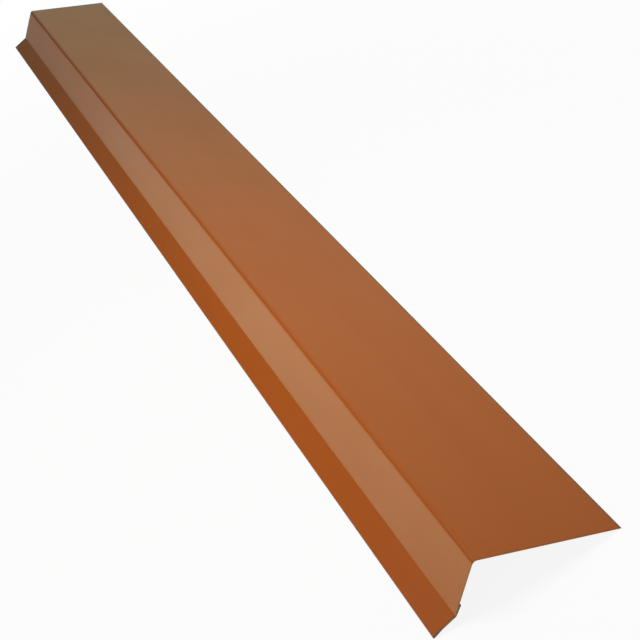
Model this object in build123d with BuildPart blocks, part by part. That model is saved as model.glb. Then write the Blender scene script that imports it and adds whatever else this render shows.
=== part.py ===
"""Eaves flashing: one strip of coated steel sheet, folded along its length.

The flange lies on the edge of the roof deck, the leg hangs in front of the fascia
board, and the lip kicks out so that water drips clear. The lip's edge is hemmed:
the sheet is folded back behind the lip and runs on up behind the leg.

Frame: X runs along the strip, the leg and lip are on the -Y side, Z is up.
The strip rests on a level floor on its hem and on the back edge of its flange.
The origin is at floor level, under the middle of that footprint.
"""

import os
from math import asin, atan2, cos, degrees, hypot, radians, sin, tan

from build123d import *

# Driving dimensions, in millimetres and degrees
stock_length = 2000.0
sheet = 0.5  # thickness of the coated steel
flange_width = 130.0  # from the eaves fold's outer corner to the back edge
leg_drop = 50.0  # from the eaves fold's corner to the lip fold's corner
lip_width = 25.0  # from the lip fold's corner to the drip edge
roof_pitch = 18.0  # the leg is upright on a roof of this pitch
lip_kick = 35.0  # how far the lip turns out of the leg's plane
eaves_fold_inside = 4.5  # inside radius of the fold between flange and leg
lip_fold_inside = 1.5  # inside radius of the fold between leg and lip
hem_fold_inside = 0.65  # inside radius of the drip edge, a teardrop hem
hem_gap = 0.25  # air between the two layers where the hem is pressed shut
hem_taper = 7.0  # angle at which the teardrop closes
hem_knee = 6.0  # radius where the teardrop meets the pressed stretch
hem_springback = 5.5  # the return opens away from the leg by this angle
hem_rise = 10.0  # how far the return runs up behind the leg

# Each fold's turn, and its radius on the painted side of the sheet
eaves_turn = 90.0 - roof_pitch
eaves_radius = eaves_fold_inside + sheet
hem_turn = 180.0 + hem_taper
hem_radius = hem_fold_inside + sheet
hem_stack = 2 * sheet + hem_gap
return_turn = lip_kick - hem_springback
return_radius = lip_fold_inside + hem_stack

# Straight runs between the folds, each less the corner that its folds take away
eaves_setback = eaves_radius * tan(radians(eaves_turn) / 2)
lip_setback = lip_fold_inside * tan(radians(lip_kick) / 2)
flange_run = flange_width - eaves_setback
leg_run = leg_drop - eaves_setback - lip_setback
lip_run = lip_width - lip_setback - hem_radius
taper = radians(hem_taper)
taper_run = (hem_radius * (1 + cos(taper)) - hem_knee * (1 - cos(taper)) - hem_stack) / sin(taper)
pressed_run = lip_run - (hem_radius + hem_knee) * sin(taper) - taper_run * cos(taper)

# The folding plan from the back edge on: straight run, then turn, then the radius
# of that turn on the painted side. A positive turn has the paint on its outside.
folding_plan = (
    (flange_run, eaves_turn, eaves_radius),
    (leg_run, -lip_kick, lip_fold_inside),
    (lip_run, hem_turn, hem_radius),
    (taper_run, -hem_taper, hem_knee),
    (pressed_run, return_turn, return_radius),
)


def fold_line(depth):
    """Draws the folded strip's line at a depth below its painted side.

    Returns its straight runs and its folds, in the flange's own frame:
    the eaves fold's outer corner is at 0, 0 and the painted flange on the local X axis.
    """
    runs = []
    folds = []
    point = (flange_width, -depth)
    heading = (-1, 0)
    for run, turn, radius in folding_plan:
        runs.append(PolarLine(start=point, length=run, direction=heading))
        bend = radius - depth if turn > 0 else radius + depth
        folds.append(JernArc(start=runs[-1] @ 1, tangent=runs[-1] % 1, radius=bend, arc_size=turn))
        point = folds[-1] @ 1
        heading = folds[-1] % 1
    runs.append(PolarLine(start=point, length=hem_rise, direction=heading))
    return runs, folds


# The floor touches the back edge's lower corner and the underside of the hem fold
with BuildLine():
    hem_centre = fold_line(0)[1][2].center_point
reach = flange_width - hem_centre.X
drop = -sheet - hem_centre.Y
rest_tilt = atan2(drop, reach) + asin(hem_radius / hypot(reach, drop))
rest_height = flange_width * sin(rest_tilt) + sheet * cos(rest_tilt)
back_edge = flange_width * cos(rest_tilt)
drip_edge = hem_centre.X * cos(rest_tilt) + hem_centre.Y * sin(rest_tilt) - hem_radius
flange_frame = Plane(
    origin=(0, -(back_edge + drip_edge) / 2, rest_height),
    x_dir=(0, cos(rest_tilt), -sin(rest_tilt)),
    z_dir=(1, 0, 0),
)

with BuildPart() as flashing:
    with BuildSketch(flange_frame):
        with BuildLine():
            painted_runs, _ = fold_line(0)
            backing_runs, _ = fold_line(sheet)
            Line(painted_runs[0] @ 0, backing_runs[0] @ 0)
            Line(painted_runs[-1] @ 1, backing_runs[-1] @ 1)
        make_face()
    extrude(amount=stock_length / 2, both=True)

flashing.part.label = "folded_sheet"

blank_width = sum(run + radians(abs(turn)) * (radius - sheet / 2) for run, turn, radius in folding_plan)
box = flashing.part.bounding_box()
print(f"rests tilted by {degrees(rest_tilt):.2f} degrees, {box.size.Y:.1f} wide and {box.size.Z:.1f} high")
print(f"cut from a strip about {blank_width + hem_rise:.0f} wide, {flashing.part.volume:.0f} cubic mm of steel")

os.makedirs("parts", exist_ok=True)
export_step(flashing.part, "parts/folded_sheet.step")
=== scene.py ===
"""Finishes the eaves flashing: a strip of coil-coated steel, folded along its length.

The strip lies on the floor like a shallow tent. Its painted face is up, its backing
coat is underneath, and bare zinc and steel show where it was sheared. All lengths are
in metres. X runs along the strip and Z is up.
"""

import logging
from dataclasses import dataclass, field
from enum import Enum
from math import asin, atan2, cos, hypot, pi, radians, sin, sqrt, tan
from typing import Callable

import bmesh
import bpy
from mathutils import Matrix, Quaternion, Vector


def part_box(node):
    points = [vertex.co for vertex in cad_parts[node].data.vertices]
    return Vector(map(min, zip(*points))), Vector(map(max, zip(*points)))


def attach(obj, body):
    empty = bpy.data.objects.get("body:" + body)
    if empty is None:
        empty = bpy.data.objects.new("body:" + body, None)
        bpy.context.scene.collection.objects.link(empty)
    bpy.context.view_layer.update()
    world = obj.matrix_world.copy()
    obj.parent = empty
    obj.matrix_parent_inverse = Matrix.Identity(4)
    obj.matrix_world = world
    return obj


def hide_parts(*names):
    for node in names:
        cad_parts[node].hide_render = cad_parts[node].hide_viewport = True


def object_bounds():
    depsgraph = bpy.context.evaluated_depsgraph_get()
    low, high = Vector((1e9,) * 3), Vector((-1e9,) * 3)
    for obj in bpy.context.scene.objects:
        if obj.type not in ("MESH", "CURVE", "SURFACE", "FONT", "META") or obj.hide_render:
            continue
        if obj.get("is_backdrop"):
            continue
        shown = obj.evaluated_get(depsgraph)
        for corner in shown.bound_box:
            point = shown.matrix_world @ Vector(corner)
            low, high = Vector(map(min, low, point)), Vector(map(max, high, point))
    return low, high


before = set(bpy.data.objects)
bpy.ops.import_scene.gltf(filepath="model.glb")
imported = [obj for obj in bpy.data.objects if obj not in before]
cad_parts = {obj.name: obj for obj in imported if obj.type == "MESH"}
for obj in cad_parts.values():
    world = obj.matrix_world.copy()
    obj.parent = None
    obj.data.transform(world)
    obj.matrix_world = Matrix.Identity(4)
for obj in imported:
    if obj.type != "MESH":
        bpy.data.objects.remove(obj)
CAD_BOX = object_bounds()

NODE = "folded_sheet"
BODY = "root"
MILLIMETRE = 0.001
SAME_PLACE = 0.01 * MILLIMETRE
WELD_REACH = 0.001 * MILLIMETRE
log = logging.getLogger("eaves_flashing")

Colour = tuple[float, float, float, float]
Triple = tuple[float, float, float]


class Side(Enum):
    """The sheet's surfaces, in the order of their material slots."""

    PAINTED = 0
    BACKING = 1
    SHEARED = 2


class Bench:
    """The workbench for one mesh: what is selected, and the tools used on it."""

    def __init__(self, obj: bpy.types.Object) -> None:
        """Takes an object in hand.

        Args:
            obj: The mesh object to work on.
        """
        self.obj = obj

    def __enter__(self) -> "Bench":
        """Takes up the object and opens it in edit mode, by its edges."""
        self.take_up()
        bpy.ops.object.mode_set(mode="EDIT")
        bpy.context.tool_settings.mesh_select_mode = (False, True, False)
        return self

    def __exit__(self, *problem: object) -> None:
        """Closes edit mode."""
        bpy.ops.object.mode_set(mode="OBJECT")

    @staticmethod
    def clear() -> None:
        """Deselects every object."""
        bpy.ops.object.select_all(action="DESELECT")

    def take_up(self) -> None:
        """Selects this object alone and makes it the active one."""
        Bench.clear()
        bpy.context.view_layer.objects.active = self.obj
        self.obj.select_set(True)

    def settle(self) -> None:
        """Moves the object's place, turn and size into its mesh."""
        self.take_up()
        bpy.ops.object.transform_apply(location=True, rotation=True, scale=True)

    def pick_edges(self, wanted: Callable[[Vector, Vector], bool]) -> None:
        """Selects the edges whose two ends pass a test.

        Args:
            wanted: Takes an edge's two end points and says whether it is wanted.
        """
        bpy.ops.mesh.select_all(action="DESELECT")
        mesh = bmesh.from_edit_mesh(self.obj.data)
        for edge in mesh.edges:
            if wanted(edge.verts[0].co, edge.verts[1].co):
                edge.select_set(True)
        bmesh.update_edit_mesh(self.obj.data)

    def draw_out(self, step: Vector) -> None:
        """Extrudes what is selected by a step, and leaves the new edge selected."""
        bpy.ops.mesh.extrude_region_move(TRANSFORM_OT_translate={"value": step})

    def finish_with(self, kind: str, name: str, **settings: object) -> None:
        """Adds a modifier to the object and applies it.

        Args:
            kind: Blender's name for the modifier.
            name: What the modifier is called.
            settings: The modifier's values.
        """
        modifier = self.obj.modifiers.new(name, kind)
        for key, value in settings.items():
            setattr(modifier, key, value)
        self.take_up()
        bpy.ops.object.modifier_apply(modifier=name)


@dataclass(frozen=True)
class Fold:
    """One fold of the sheet. A positive turn has the paint on its outside.

    A pressed fold isn't a true arc. Its shoulders run out into the flat sheet, so it starts
    that many times as far from its corner.
    """

    turn: float
    radius: float
    facets: int
    shoulders: float = 1.0

    @property
    def setback(self) -> float:
        """Distance from the fold's sharp corner to where the sheet runs straight."""
        return self.radius * tan(abs(self.turn) / 2)

    @property
    def profile(self) -> float:
        """Bevel profile that leaves the fold's crown where a true arc has it."""
        return (1 - (1 - sqrt(0.5)) / self.shoulders) ** 2


def turned(direction: Vector, angle: float) -> Vector:
    """Returns a direction across the strip, turned about the strip's length."""
    return Quaternion((1, 0, 0), angle) @ direction


@dataclass
class FoldedSheet:
    """The whole strip: flange, leg, drip lip and hem, in one thickness of steel.

    The section is worked out on the painted side, in the flange's own frame: the
    eaves fold's sharp corner is at the origin and the flange runs along +Y. A run across
    the section is cut as often as the first of run_cuts says whose width it passes.
    """

    length: float = 2.0
    gauge: float = 0.5 * MILLIMETRE
    flange_width: float = 130 * MILLIMETRE
    leg_drop: float = 50 * MILLIMETRE
    lip_width: float = 25 * MILLIMETRE
    roof_pitch: float = radians(18)
    lip_kick: float = radians(35)
    eaves_fold_inside: float = 4.5 * MILLIMETRE
    lip_fold_inside: float = 1.5 * MILLIMETRE
    hem_fold_inside: float = 0.65 * MILLIMETRE
    hem_gap: float = 0.25 * MILLIMETRE
    hem_taper: float = radians(7)
    hem_knee: float = 6 * MILLIMETRE
    hem_springback: float = radians(5.5)
    hem_rise: float = 10 * MILLIMETRE
    soft_shoulders: float = 1.7
    eaves_facets: int = 26
    lip_facets: int = 12
    hem_facets: int = 20
    knee_facets: int = 4
    return_facets: int = 8
    stations: int = 80
    run_cuts: tuple[tuple[float, int], ...] = (
        (60 * MILLIMETRE, 15),
        (30 * MILLIMETRE, 7),
        (10 * MILLIMETRE, 3),
        (5 * MILLIMETRE, 1),
    )
    ripple_height: float = 0.45 * MILLIMETRE
    ripple_width: float = 0.22
    leg_ripple: float = 0.35
    eased_arris: float = 0.05 * MILLIMETRE
    arris_facets: int = 2
    arris_angle: float = radians(60)
    smooth_angle: float = radians(40)
    flat_weight: int = 100
    finishes: dict[Side, bpy.types.Material] = field(default_factory=dict)

    def __post_init__(self) -> None:
        """Works out the folds and the section's sharp corners."""
        hem_stack = 2 * self.gauge + self.hem_gap
        eaves_turn, eaves_radius = pi / 2 - self.roof_pitch, self.eaves_fold_inside + self.gauge
        hem_turn, hem_radius = pi + self.hem_taper, self.hem_fold_inside + self.gauge
        return_turn, return_radius = self.lip_kick - self.hem_springback, self.lip_fold_inside + hem_stack
        self.eaves_fold = Fold(eaves_turn, eaves_radius, self.eaves_facets, self.soft_shoulders)
        self.lip_fold = Fold(-self.lip_kick, self.lip_fold_inside, self.lip_facets, self.soft_shoulders)
        self.hem_fold = Fold(hem_turn, hem_radius, self.hem_facets)
        self.knee_fold = Fold(-self.hem_taper, self.hem_knee, self.knee_facets)
        self.return_fold = Fold(return_turn, return_radius, self.return_facets)

        leg_way = turned(Vector((0, -1, 0)), eaves_turn)
        lip_way = turned(leg_way, -self.lip_kick)
        taper_way = turned(lip_way, hem_turn)
        return_way = turned(-lip_way, return_turn)
        inward = turned(lip_way, pi / 2)

        self.eaves_corner = Vector((0, 0, 0))
        self.lip_corner = leg_way * self.leg_drop
        self.hem_start = self.lip_corner + lip_way * (self.lip_width - hem_radius)
        self.hem_centre = self.hem_start + inward * hem_radius
        self.hem_end = self.hem_centre + turned(-inward, hem_turn) * hem_radius
        closing = hem_radius * (1 + cos(self.hem_taper)) - hem_stack
        self.knee_corner = self.hem_end + taper_way * (closing / sin(self.hem_taper))
        overlap = self.lip_fold.setback - self.return_fold.setback
        self.return_corner = self.lip_corner + lip_way * overlap + inward * hem_stack
        self.free_edge = self.return_corner + return_way * (self.return_fold.setback + self.hem_rise)

    @property
    def resting_tilt(self) -> float:
        """Slope of the flange when the hem and the flange's back edge touch the floor."""
        reach = self.flange_width - self.hem_centre.y
        drop = -self.gauge - self.hem_centre.z
        return atan2(drop, reach) + asin(self.hem_fold.radius / hypot(reach, drop))

    def build(self) -> bpy.types.Object:
        """Folds the strip from flat sheet.

        Returns:
            The finished strip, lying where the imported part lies.
        """
        sheet = self.cut_flange()
        with Bench(sheet) as bench:
            self.draw_section(bench)
            self.round_folds(bench)
            self.divide(bench)
            self.face_outwards(bench)
        self.ripple(sheet)
        self.thicken(sheet)
        self.set_down(sheet)
        self.dress(sheet)
        return sheet

    def cut_flange(self) -> bpy.types.Object:
        """Adds the flange as one flat rectangle, from the back edge to the eaves corner.

        Returns:
            The flat flange, one face.
        """
        Bench.clear()
        bpy.ops.mesh.primitive_plane_add(size=1, location=(0, self.flange_width / 2, 0))
        sheet = bpy.context.active_object
        sheet.name = "folded_strip"
        sheet.scale = (self.length, self.flange_width, 1)
        Bench(sheet).settle()
        return sheet

    def draw_section(self, bench: Bench) -> None:
        """Extrudes leg and lip, spins the hem round its centre and brings the return up.

        Args:
            bench: The strip in edit mode.
        """
        bench.pick_edges(lambda one, two: self.runs_along(one, two, self.eaves_corner))
        bench.draw_out(self.lip_corner - self.eaves_corner)
        bench.draw_out(self.hem_start - self.lip_corner)
        bpy.ops.mesh.spin(
            steps=self.hem_fold.facets, angle=-self.hem_fold.turn, center=self.hem_centre, axis=(1, 0, 0)
        )
        bench.draw_out(self.knee_corner - self.hem_end)
        bench.draw_out(self.return_corner - self.knee_corner)
        bench.draw_out(self.free_edge - self.return_corner)

    def round_folds(self, bench: Bench) -> None:
        """Bevels each sharp corner to its fold's own radius.

        Args:
            bench: The strip in edit mode.
        """
        corners = (
            (self.eaves_corner, self.eaves_fold),
            (self.lip_corner, self.lip_fold),
            (self.knee_corner, self.knee_fold),
            (self.return_corner, self.return_fold),
        )
        for corner, fold in corners:
            bench.pick_edges(lambda one, two: self.runs_along(one, two, corner))
            bpy.ops.mesh.bevel(
                offset_type="OFFSET",
                offset=fold.setback * fold.shoulders,
                segments=fold.facets,
                profile=fold.profile,
                clamp_overlap=False,
            )

    @staticmethod
    def runs_along(one: Vector, two: Vector, corner: Vector) -> bool:
        """Says whether an edge runs along the strip through a corner of the section."""
        return all((end.yz - corner.yz).length < SAME_PLACE for end in (one, two)) and one.x != two.x

    def divide(self, bench: Bench) -> None:
        """Divides the wide runs across, and then the whole strip along its length.

        Args:
            bench: The strip in edit mode.
        """
        widest = self.length
        for narrowest, cuts in self.run_cuts:
            bench.pick_edges(lambda one, two: one.x == two.x and narrowest < (one - two).length < widest)
            bpy.ops.mesh.subdivide(number_cuts=cuts)
            widest = narrowest
        bench.pick_edges(lambda one, two: abs(one.x - two.x) > self.length / 2)
        bpy.ops.mesh.subdivide(number_cuts=self.stations - 1)

    @staticmethod
    def face_outwards(bench: Bench) -> None:
        """Turns every face so that the painted side is up on the flange.

        Args:
            bench: The strip in edit mode.
        """
        bpy.ops.mesh.select_all(action="SELECT")
        bpy.ops.mesh.remove_doubles(threshold=WELD_REACH)
        bpy.ops.mesh.normals_make_consistent(inside=False)
        mesh = bmesh.from_edit_mesh(bench.obj.data)
        mesh.normal_update()
        flange = max(mesh.faces, key=lambda face: face.calc_center_median().y)
        if flange.normal.z < 0:
            bpy.ops.mesh.flip_normals()

    def ripple(self, sheet: bpy.types.Object) -> None:
        """Lets the wide runs wander a little out of plane, as thin sheet does.

        The folds and the long edges are stiff and straight, so they stay in place.

        Args:
            sheet: The strip, one face thick.
        """
        loose = sheet.vertex_groups.new(name="loose")
        spans = (
            (self.eaves_corner + Vector((0, self.flange_width, 0)), self.eaves_corner, 1.0),
            (self.eaves_corner, self.lip_corner, self.leg_ripple),
        )
        for vertex in sheet.data.vertices:
            for start, end, share in spans:
                way = end - start
                along = (vertex.co - start).dot(way) / way.length_squared
                foot = start + way * along
                if 0 < along < 1 and (vertex.co.yz - foot.yz).length < self.gauge:
                    loose.add([vertex.index], share * sin(pi * along) ** 2, "REPLACE")
        waves = bpy.data.textures.new("sheet_ripple", "CLOUDS")
        waves.noise_scale = self.ripple_width
        waves.noise_depth = 1
        Bench(sheet).finish_with(
            "DISPLACE",
            "ripple",
            texture=waves,
            texture_coords="LOCAL",
            strength=self.ripple_height,
            mid_level=0.5,
            vertex_group=loose.name,
        )
        sheet.vertex_groups.clear()

    def thicken(self, sheet: bpy.types.Object) -> None:
        """Gives the strip its thickness below the painted side, and eases its sheared arrises.

        Args:
            sheet: The strip, one face thick.
        """
        for side in Side:
            sheet.data.materials.append(self.finishes[side])
        bench = Bench(sheet)
        bench.finish_with(
            "SOLIDIFY",
            "gauge",
            thickness=self.gauge,
            offset=-1,
            use_even_offset=True,
            use_quality_normals=True,
            material_offset=Side.BACKING.value,
            material_offset_rim=Side.SHEARED.value,
        )
        bench.finish_with(
            "BEVEL",
            "arris",
            width=self.eased_arris,
            segments=self.arris_facets,
            limit_method="ANGLE",
            angle_limit=self.arris_angle,
            use_clamp_overlap=False,
        )

    def set_down(self, sheet: bpy.types.Object) -> None:
        """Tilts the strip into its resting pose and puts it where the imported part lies.

        Args:
            sheet: The strip in the flange's own frame.
        """
        low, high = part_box(NODE)
        bench = Bench(sheet)
        sheet.rotation_euler = (-self.resting_tilt, 0, 0)
        bench.settle()
        back = max(vertex.co.y for vertex in sheet.data.vertices)
        foot = min(vertex.co.z for vertex in sheet.data.vertices)
        sheet.location = (0, high[1] - back, low[2] - foot)
        bench.settle()

    def dress(self, sheet: bpy.types.Object) -> None:
        """Smooths the folds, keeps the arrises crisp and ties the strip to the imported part.

        Args:
            sheet: The finished strip.
        """
        bench = Bench(sheet)
        bench.take_up()
        bpy.ops.object.shade_smooth_by_angle(angle=self.smooth_angle)
        bench.finish_with("WEIGHTED_NORMAL", "flat_runs", keep_sharp=True, weight=self.flat_weight)
        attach(sheet, BODY)
        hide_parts(NODE)


@dataclass(frozen=True)
class Grain:
    """A noise pattern laid out in metres on the strip.

    It has so many cells in a metre where it isn't stretched, and is so many times finer
    along each axis. Detail is how many finer layers it has, and roughness their strength.
    """

    cells: float
    finer: Triple = (1, 1, 1)
    detail: float = 2.0
    roughness: float = 0.5


class Recipe:
    """The node tree of a material or a world, built up one node at a time.

    Nearly all of a noise lies between its two noise levels, so they count as its ends.
    """

    noise_low: float = 0.3
    noise_high: float = 0.7

    def __init__(self, owner: bpy.types.Material | bpy.types.World) -> None:
        """Empties the owner's node tree and starts afresh.

        Args:
            owner: The material or world that the nodes are for.
        """
        owner.use_nodes = True
        self.owner = owner
        self.tree = owner.node_tree
        self.tree.nodes.clear()

    def node(
        self, kind: str, inputs: dict[str | int, object] | None = None, **settings: object
    ) -> bpy.types.Node:
        """Adds a node.

        Args:
            kind: Blender's name for the node.
            inputs: Values or output sockets for its inputs, by the input's name or number.
            settings: The node's own options.

        Returns:
            The new node.
        """
        made = self.tree.nodes.new(kind)
        for key, value in settings.items():
            setattr(made, key, value)
        for name, value in (inputs or {}).items():
            if isinstance(value, bpy.types.NodeSocket):
                self.tree.links.new(value, made.inputs[name])
            else:
                made.inputs[name].default_value = value
        return made

    def math(self, operation: str, one: object, two: object) -> bpy.types.NodeSocket:
        """Returns the result of an operation on two values or sockets."""
        return self.node("ShaderNodeMath", {0: one, 1: two}, operation=operation).outputs[0]

    def noise(self, grain: Grain) -> bpy.types.NodeSocket:
        """Adds a noise in a grain.

        Args:
            grain: The noise's pattern.

        Returns:
            The noise's value.
        """
        where = self.node("ShaderNodeTexCoord").outputs["Object"]
        laid = self.node("ShaderNodeMapping", {"Vector": where, "Scale": grain.finer}).outputs["Vector"]
        layers = {"Scale": grain.cells, "Detail": grain.detail, "Roughness": grain.roughness}
        return self.node("ShaderNodeTexNoise", {"Vector": laid, **layers}).outputs["Fac"]

    def spread(self, noise: bpy.types.NodeSocket, low: float, high: float) -> bpy.types.NodeSocket:
        """Spreads a noise over a range.

        Args:
            noise: The noise's value.
            low: What its low level becomes.
            high: What its high level becomes.

        Returns:
            The spread value.
        """
        levels = {"From Min": self.noise_low, "From Max": self.noise_high, "To Min": low, "To Max": high}
        return self.node("ShaderNodeMapRange", {"Value": noise, **levels}).outputs["Result"]

    def blend(self, noise: bpy.types.NodeSocket, low: Colour, high: Colour) -> bpy.types.NodeSocket:
        """Mixes two colours by a noise.

        Args:
            noise: The noise's value.
            low: The colour at its low level.
            high: The colour at its high level.

        Returns:
            The mixed colour.
        """
        ramp = self.node("ShaderNodeValToRGB", {"Fac": noise})
        levels = (self.noise_low, self.noise_high)
        for stop, level, colour in zip(ramp.color_ramp.elements, levels, (low, high)):
            stop.position = level
            stop.color = colour
        return ramp.outputs["Color"]

    def mix(
        self, share: bpy.types.NodeSocket, one: bpy.types.NodeSocket, two: Colour
    ) -> bpy.types.NodeSocket:
        """Mixes a second colour into a first.

        Args:
            share: How much of the second colour there is.
            one: The first colour.
            two: The second colour.

        Returns:
            The mixed colour.
        """
        # The node's colour sockets come after its sockets for numbers and vectors
        factor, first, second, mixed = 0, 6, 7, 2
        inputs = {factor: share, first: one, second: two}
        return self.node("ShaderNodeMix", inputs, data_type="RGBA").outputs[mixed]

    def fade(self, value: bpy.types.NodeSocket, none: float, full: float) -> bpy.types.NodeSocket:
        """Makes a share of a value, smooth at both ends.

        Args:
            value: The value.
            none: Where the share is 0.
            full: Where the share is 1.

        Returns:
            The share.
        """
        low, high, first = (none, full, 0.0) if none < full else (full, none, 1.0)
        levels = {"From Min": low, "From Max": high, "To Min": first, "To Max": 1 - first}
        share = self.node("ShaderNodeMapRange", {"Value": value, **levels}, interpolation_type="SMOOTHSTEP")
        return share.outputs["Result"]

    def finish(self, shader: bpy.types.Node) -> bpy.types.Material:
        """Joins the shader to the material's output and returns the material."""
        self.node("ShaderNodeOutputMaterial", {"Surface": shader.outputs[0]})
        return self.owner


@dataclass(frozen=True)
class TopCoat:
    """Satin coil coating: roller streaks along the strip and a fine orange peel.

    A thin dark brown line along the cut ends and the back edge is painted shade: a dark rim
    where the edge turns away from the light. It is dark across the first of its two widths
    from the edge, fades out over the rest of the second, and is narrower here and there by
    up to uneven_width.
    """

    tone: Colour = (0.336, 0.0727, 0.0064, 1)
    deep_tone: Colour = (0.320, 0.0690, 0.0056, 1)
    edge_shade_tone: Colour = (0.155, 0.075, 0.038, 1)
    edge_shade_width: float = 2.7 * MILLIMETRE
    full_shade_width: float = 1.35 * MILLIMETRE
    uneven_width: float = 1.08 * MILLIMETRE
    gloss_range: tuple[float, float] = (0.36, 0.40)
    refraction: float = 1.3
    peel_height: float = 0.004 * MILLIMETRE
    streaks: Grain = Grain(60, (0.03, 1, 1), detail=3)
    handling: Grain = Grain(9, (0.5, 1, 1), detail=4, roughness=0.6)
    peel: Grain = Grain(420, detail=1)
    edge_shade_breakup: Grain = Grain(150, detail=3)

    def painted_edge_shade(self, recipe: Recipe) -> bpy.types.NodeSocket:
        """Works out where shade is painted along the edges, from how far out a place lies on the strip.

        Args:
            recipe: The material's nodes so far.

        Returns:
            The share of painted edge shade, all of it at the ends and the back edge and none inside.
        """
        where = recipe.node("ShaderNodeTexCoord").outputs["Object"]
        place = recipe.node("ShaderNodeSeparateXYZ", {0: where}).outputs
        endways = recipe.node("ShaderNodeMath", {0: place["X"]}, operation="ABSOLUTE").outputs[0]
        narrowing = recipe.spread(recipe.noise(self.edge_shade_breakup), 0.0, self.uneven_width)
        shares = []
        for reach, edge in zip((endways, place["Y"]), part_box(NODE)[1]):
            narrowed_reach = recipe.math("SUBTRACT", reach, narrowing)
            shares.append(recipe.fade(narrowed_reach, edge - self.edge_shade_width, edge - self.full_shade_width))
        return recipe.math("MAXIMUM", *shares)

    def build(self) -> bpy.types.Material:
        """Returns the material of the painted side."""
        recipe = Recipe(bpy.data.materials.new("top_coat"))
        peel = recipe.noise(self.peel)
        relief = recipe.node("ShaderNodeBump", {"Height": peel, "Distance": self.peel_height})
        paint = recipe.blend(recipe.noise(self.streaks), self.deep_tone, self.tone)
        shader = recipe.node(
            "ShaderNodeBsdfPrincipled",
            {
                # Painted shade: a dark brown line mixed into the paint along the cut ends and the back edge
                "Base Color": recipe.mix(self.painted_edge_shade(recipe), paint, self.edge_shade_tone),
                "Roughness": recipe.spread(recipe.noise(self.handling), *self.gloss_range),
                "Normal": relief.outputs["Normal"],
                "IOR": self.refraction,
            },
        )
        return recipe.finish(shader)


@dataclass(frozen=True)
class BackingCoat:
    """Thin grey-beige primer on the hidden side, matt and a little uneven."""

    tone: Colour = (0.42, 0.39, 0.33, 1)
    thin_tone: Colour = (0.36, 0.345, 0.30, 1)
    gloss_range: tuple[float, float] = (0.5, 0.62)
    peel_height: float = 0.006 * MILLIMETRE
    streaks: Grain = Grain(90, (0.03, 1, 1), detail=4)
    mottle: Grain = Grain(30, detail=3)
    peel: Grain = Grain(700, detail=1)

    def build(self) -> bpy.types.Material:
        """Returns the material of the backing side."""
        recipe = Recipe(bpy.data.materials.new("backing_coat"))
        peel = recipe.noise(self.peel)
        relief = recipe.node("ShaderNodeBump", {"Height": peel, "Distance": self.peel_height})
        shader = recipe.node(
            "ShaderNodeBsdfPrincipled",
            {
                "Base Color": recipe.blend(recipe.noise(self.streaks), self.thin_tone, self.tone),
                "Roughness": recipe.spread(recipe.noise(self.mottle), *self.gloss_range),
                "Normal": relief.outputs["Normal"],
            },
        )
        return recipe.finish(shader)


@dataclass(frozen=True)
class ShearedSteel:
    """The sheared edge: dull zinc and steel, scored across the gauge."""

    tone: Colour = (0.36, 0.33, 0.24, 1)
    dark_tone: Colour = (0.2, 0.18, 0.125, 1)
    gloss_range: tuple[float, float] = (0.55, 0.7)
    metal_share: float = 0.25
    scoring: Grain = Grain(2500, (1, 1, 0.1))

    def build(self) -> bpy.types.Material:
        """Returns the material of the sheared edges."""
        recipe = Recipe(bpy.data.materials.new("sheared_steel"))
        scores = recipe.noise(self.scoring)
        shader = recipe.node(
            "ShaderNodeBsdfPrincipled",
            {
                "Base Color": recipe.blend(scores, self.dark_tone, self.tone),
                "Roughness": recipe.spread(scores, *self.gloss_range),
                "Metallic": self.metal_share,
            },
        )
        return recipe.finish(shader)


@dataclass(frozen=True)
class StudioFloor:
    """A plain white floor that still takes the strip's shadow.

    What the camera, a gloss or a glass sees of it is partly plain white and partly the
    lit floor. The lit share is largest under the lamp, and fades out where its light does.
    """

    reach: float = 60.0
    rim_facets: int = 96
    tone: Colour = (0.8, 0.8, 0.8, 1)
    white: Colour = (1, 1, 1, 1)
    lit_share: float = 0.2
    lit_centre: Triple = (0.5, -0.2, 0)
    lit_reach: float = 2.0

    def build(self) -> bpy.types.Object:
        """Lays the floor and marks it as stage.

        Returns:
            The floor.
        """
        Bench.clear()
        bpy.ops.mesh.primitive_circle_add(vertices=self.rim_facets, radius=self.reach, fill_type="NGON")
        floor = bpy.context.active_object
        floor.name = "studio_floor"
        floor.data.materials.append(self.finish())
        floor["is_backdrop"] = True
        return floor

    def finish(self) -> bpy.types.Material:
        """Returns the floor's material."""
        recipe = Recipe(bpy.data.materials.new("studio_floor"))
        rays = recipe.node("ShaderNodeLightPath").outputs
        direct = recipe.math("ADD", rays["Is Camera Ray"], rays["Is Glossy Ray"])
        seen = recipe.math("ADD", direct, rays["Is Transmission Ray"])
        where = recipe.node("ShaderNodeTexCoord").outputs["Object"]
        offset = [-value / self.lit_reach for value in self.lit_centre]
        spread = [1 / self.lit_reach] * 3
        laid = recipe.node("ShaderNodeMapping", {"Vector": where, "Location": offset, "Scale": spread})
        pool = recipe.node("ShaderNodeTexGradient", {"Vector": laid.outputs["Vector"]})
        pool.gradient_type = "QUADRATIC_SPHERE"
        levels = {"Value": pool.outputs["Fac"], "To Min": 1.0, "To Max": 1 - self.lit_share}
        plain = recipe.node("ShaderNodeMapRange", levels).outputs["Result"]
        share = recipe.math("MULTIPLY", seen, plain)
        lit = recipe.node("ShaderNodeBsdfDiffuse", {"Color": self.tone})
        glow = recipe.node("ShaderNodeEmission", {"Color": self.white})
        parts = {0: share, 1: lit.outputs[0], 2: glow.outputs[0]}
        return recipe.finish(recipe.node("ShaderNodeMixShader", parts))


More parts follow.
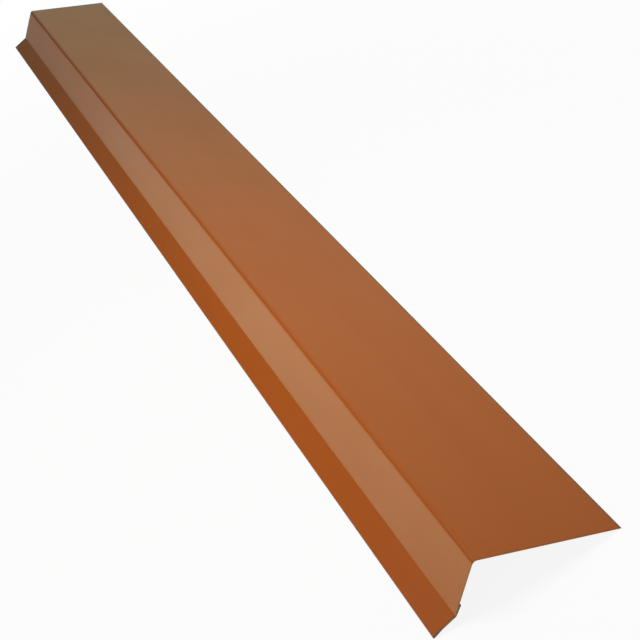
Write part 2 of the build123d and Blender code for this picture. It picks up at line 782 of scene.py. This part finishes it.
@dataclass(frozen=True)
class SkyGlow:
    """A soft bright patch that stands on the horizon, as a lit wall does.

    It fades out sideways from its core to its edge, which are angles from its middle, and
    upwards from its crown to its top, which are angles above the horizon.
    """

    heading: float
    core: float
    edge: float
    crown: float
    top: float
    colour: Colour

    @property
    def towards(self) -> Vector:
        """Level direction of the patch's middle. Its heading is taken from -X towards +Y."""
        return Vector((-cos(self.heading), sin(self.heading), 0))


@dataclass(frozen=True)
class StudioSky:
    """The room's own light: dark overhead, white walls behind and beside, two glows ahead."""

    overhead: Colour = (0.01, 0.01, 0.01, 1)
    glows: tuple[SkyGlow, ...] = (
        SkyGlow(
            heading=radians(180),
            core=radians(100),
            edge=radians(140),
            crown=radians(12),
            top=radians(35),
            colour=(1, 1, 1, 1),
        ),
        SkyGlow(
            heading=radians(20.5),
            core=radians(3),
            edge=radians(35.5),
            crown=radians(16),
            top=radians(69),
            colour=(0.98, 0.92, 0.565, 1),
        ),
        SkyGlow(
            heading=radians(-46.3),
            core=radians(18.5),
            edge=radians(20.5),
            crown=radians(4.2),
            top=radians(8.2),
            colour=(5.8, 6.0, 2.8, 1),
        ),
    )

    def build(self) -> None:
        """Makes this the scene's world."""
        world = bpy.data.worlds.new("studio_sky")
        bpy.context.scene.world = world
        recipe = Recipe(world)
        where = recipe.node("ShaderNodeTexCoord").outputs["Generated"]
        level = recipe.node("ShaderNodeVectorMath", {0: where, 1: (1, 1, 0)}, operation="MULTIPLY")
        around = recipe.node("ShaderNodeVectorMath", {0: level.outputs[0]}, operation="NORMALIZE")
        rise = recipe.node("ShaderNodeSeparateXYZ", {0: where}).outputs["Z"]
        light = recipe.node("ShaderNodeBackground", {"Color": self.overhead})
        for glow in self.glows:
            headings = {0: around.outputs[0], 1: glow.towards}
            facing = recipe.node("ShaderNodeVectorMath", headings, operation="DOT_PRODUCT")
            sideways = recipe.fade(facing.outputs["Value"], cos(glow.edge), cos(glow.core))
            upwards = recipe.fade(rise, sin(glow.top), sin(glow.crown))
            share = recipe.math("MULTIPLY", sideways, upwards)
            patch = recipe.node("ShaderNodeBackground", {"Color": glow.colour, "Strength": share})
            light = recipe.node("ShaderNodeAddShader", {0: light.outputs[0], 1: patch.outputs[0]})
        recipe.node("ShaderNodeOutputWorld", {"Surface": light.outputs[0]})


@dataclass(frozen=True)
class SoftLamp:
    """A rectangular soft light that hangs over the near half of the strip."""

    name: str = "overhead"
    place: Triple = (0.526, -0.13, 1.16)
    aim: Triple = (0.526, 0, 0)
    width: float = 0.9
    height: float = 0.7
    watts: float = 14.6

    def build(self) -> bpy.types.Object:
        """Hangs the lamp and turns it towards its aim.

        Returns:
            The lamp.
        """
        data = bpy.data.lights.new(self.name, "AREA")
        data.shape = "RECTANGLE"
        data.size = self.width
        data.size_y = self.height
        data.energy = self.watts
        lamp = bpy.data.objects.new(self.name, data)
        bpy.context.scene.collection.objects.link(lamp)
        lamp.location = self.place
        lamp.rotation_euler = (Vector(self.aim) - Vector(self.place)).to_track_quat("-Z", "Y").to_euler()
        lamp.visible_camera = False
        return lamp


@dataclass(frozen=True)
class Viewpoint:
    """Where the picture is taken from: past the near end, looking down along the strip."""

    stand: Triple = (2.06583, -0.19513, 0.88867)
    look: Triple = (-0.87093, 0.11117, -0.47867)
    roll: float = radians(-25.74)
    lens: float = 96.59
    film_width: float = 36
    nearest: float = 0.05
    furthest: float = 100

    def build(self) -> bpy.types.Object:
        """Sets up the camera as the scene's own.

        Returns:
            The camera.
        """
        data = bpy.data.cameras.new("viewpoint")
        data.lens = self.lens
        data.sensor_width = self.film_width
        data.clip_start = self.nearest
        data.clip_end = self.furthest
        camera = bpy.data.objects.new("viewpoint", data)
        bpy.context.scene.collection.objects.link(camera)
        level = Vector(self.look).to_track_quat("-Z", "Y")
        camera.location = self.stand
        camera.rotation_euler = (level @ Quaternion((0, 0, 1), self.roll)).to_euler()
        bpy.context.scene.camera = camera
        return camera


def write_sizes() -> None:
    """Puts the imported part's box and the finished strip's box into plain lists."""
    boxes = {"cad": CAD_BOX, "visual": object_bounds()}
    plain = {name: [list(corner) for corner in corners] for name, corners in boxes.items()}


def main() -> None:
    """Builds the strip and its studio, and reports each piece."""
    logging.basicConfig(level=logging.INFO, format="%(name)s: %(message)s")
    finishes = {
        Side.PAINTED: TopCoat().build(),
        Side.BACKING: BackingCoat().build(),
        Side.SHEARED: ShearedSteel().build(),
    }
    strip = FoldedSheet(finishes=finishes).build()
    log.info("%s: %d faces", strip.name, len(strip.data.polygons))
    floor = StudioFloor().build()
    log.info("%s: stage", floor.name)
    StudioSky().build()
    lamp = SoftLamp().build()
    log.info("%s: %.1f W", lamp.name, lamp.data.energy)
    Viewpoint().build()
    bpy.context.scene.view_settings.view_transform = "Standard"
    write_sizes()


if __name__ == "__main__":
    main()
